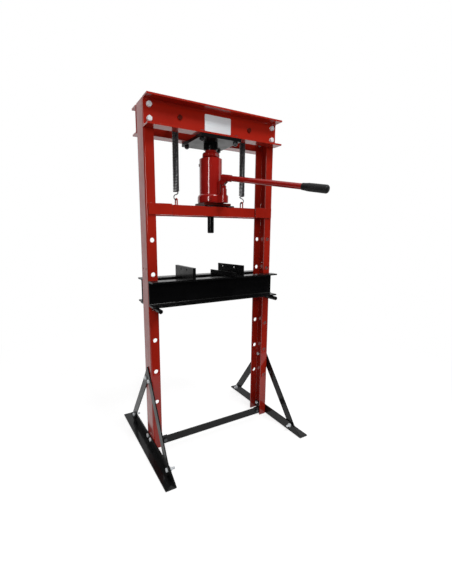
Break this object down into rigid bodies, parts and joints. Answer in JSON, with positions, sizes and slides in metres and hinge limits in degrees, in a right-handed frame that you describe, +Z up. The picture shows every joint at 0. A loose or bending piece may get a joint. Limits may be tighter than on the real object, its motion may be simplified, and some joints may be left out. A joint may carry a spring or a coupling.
{
  "type": "hydraulic h-frame press",
  "caption": "Floor-standing hydraulic H-frame workshop press with an upright bottle jack on a sprung moving head, a pinned adjustable bed and loose press plates.",
  "frame": {"origin": "on the floor, midway between the two uprights", "axes": "+Z up, +X to the right along the bed, +Y to the back; the pump handle points to -Y"},
  "size_m": [0.742, 0.8322, 1.5],
  "materials": {
    "red_paint": "glossy red enamel",
    "black_paint": "glossy black enamel",
    "zinc_plate": "bright zinc plate",
    "bright_steel": "ground steel",
    "spring_black": "black oxide",
    "black_rubber": "matt rubber"
  },
  "bodies": {
    "frame": {"left_upright": "red_paint", "right_upright": "red_paint", "front_head_beam": "red_paint", "rear_head_beam": "red_paint", "head_bolts": "zinc_plate", "head_nuts": "zinc_plate", "head_plate": "black_paint", "plate_bolts": "zinc_plate", "plate_nuts": "zinc_plate", "ram_cup": "black_paint", "spring_hangers": "black_paint", "left_return_spring": "spring_black", "right_return_spring": "spring_black", "left_foot": "black_paint", "right_foot": "black_paint", "front_left_brace": "black_paint", "rear_left_brace": "black_paint", "front_right_brace": "black_paint", "rear_right_brace": "black_paint", "brace_bolts": "zinc_plate", "brace_nuts": "zinc_plate", "foot_bolts": "zinc_plate", "foot_nuts": "zinc_plate", "tie_bar": "black_paint", "left_tie_bracket": "black_paint", "right_tie_bracket": "black_paint", "tie_bolts": "zinc_plate", "tie_nuts": "zinc_plate", "jack_ram": "bright_steel", "ram_seal": "black_rubber"},
    "moving_head": {"front_head_bar": "red_paint", "rear_head_bar": "red_paint", "left_guide_straps": "red_paint", "right_guide_straps": "red_paint", "jack_seat_plate": "black_paint", "jack_pad_plate": "black_paint", "spring_bridges": "red_paint", "spring_eyes": "red_paint", "pressing_pin": "black_paint", "jack_base": "red_paint", "jack_reservoir": "red_paint", "jack_cylinder": "bright_steel", "jack_gland_nut": "red_paint", "filler_plug": "black_rubber", "pump_barrel": "red_paint", "pump_links": "red_paint", "link_pins": "bright_steel"},
    "pump_handle": {"handle_socket": "red_paint", "plunger_pin": "bright_steel", "handle_tube": "red_paint", "handle_grip": "black_rubber"},
    "plunger": {"pump_plunger": "bright_steel"},
    "valve": {"release_valve": "red_paint"},
    "bed": {"bed_front_beam": "black_paint", "bed_rear_beam": "black_paint", "bed_spacers": "black_paint"},
    "left_pin": {"left_support_pin": "black_paint"},
    "right_pin": {"right_support_pin": "black_paint"},
    "plain_plate": {"plain_press_plate": "black_paint"},
    "stepped_plate": {"stepped_press_plate": "black_paint"}
  },
  "joints": [
    {"name": "head_slide", "type": "slide", "parent": "frame", "child": "moving_head", "axis": [0, 0, -1], "range_m": [0, 0.15], "stiffness_N_per_m": 2600, "springref_m": -0.15, "deforming": ["left_return_spring", "right_return_spring"]},
    {"name": "handle_hinge", "type": "hinge", "parent": "moving_head", "child": "pump_handle", "pos_m": [0.01995, -0.05481, 1.2057], "axis": [-0.9397, -0.342, 0], "range_deg": [0, 30]},
    {"name": "plunger_slide", "type": "slide", "parent": "moving_head", "child": "plunger", "axis": [0, 0, 1], "range_m": [0, 0.00986]},
    {"name": "valve_hinge", "type": "hinge", "parent": "moving_head", "child": "valve", "pos_m": [-0.035, -0.06062, 1.1347], "axis": [-0.5, -0.866, 0], "range_deg": [0, 360]},
    {"name": "bed_lift", "type": "slide", "parent": "frame", "child": "bed", "axis": [0, 0, 1], "range_m": [0, 0.055]},
    {"name": "left_pin_slide", "type": "slide", "parent": "frame", "child": "left_pin", "axis": [0, -1, 0], "range_m": [0, 0.25]},
    {"name": "right_pin_slide", "type": "slide", "parent": "frame", "child": "right_pin", "axis": [0, -1, 0], "range_m": [0, 0.25]},
    {"name": "plain_plate_slide", "type": "slide", "parent": "bed", "child": "plain_plate", "axis": [1, 0, 0], "range_m": [-0.12, 0.115]},
    {"name": "stepped_plate_slide", "type": "slide", "parent": "bed", "child": "stepped_plate", "axis": [1, 0, 0], "range_m": [-0.01, 0.15]}
  ],
  "couplings": [
    {"joint": "plunger_slide", "follows": "handle_hinge", "m_per_rad": 0.018784}
  ]
}
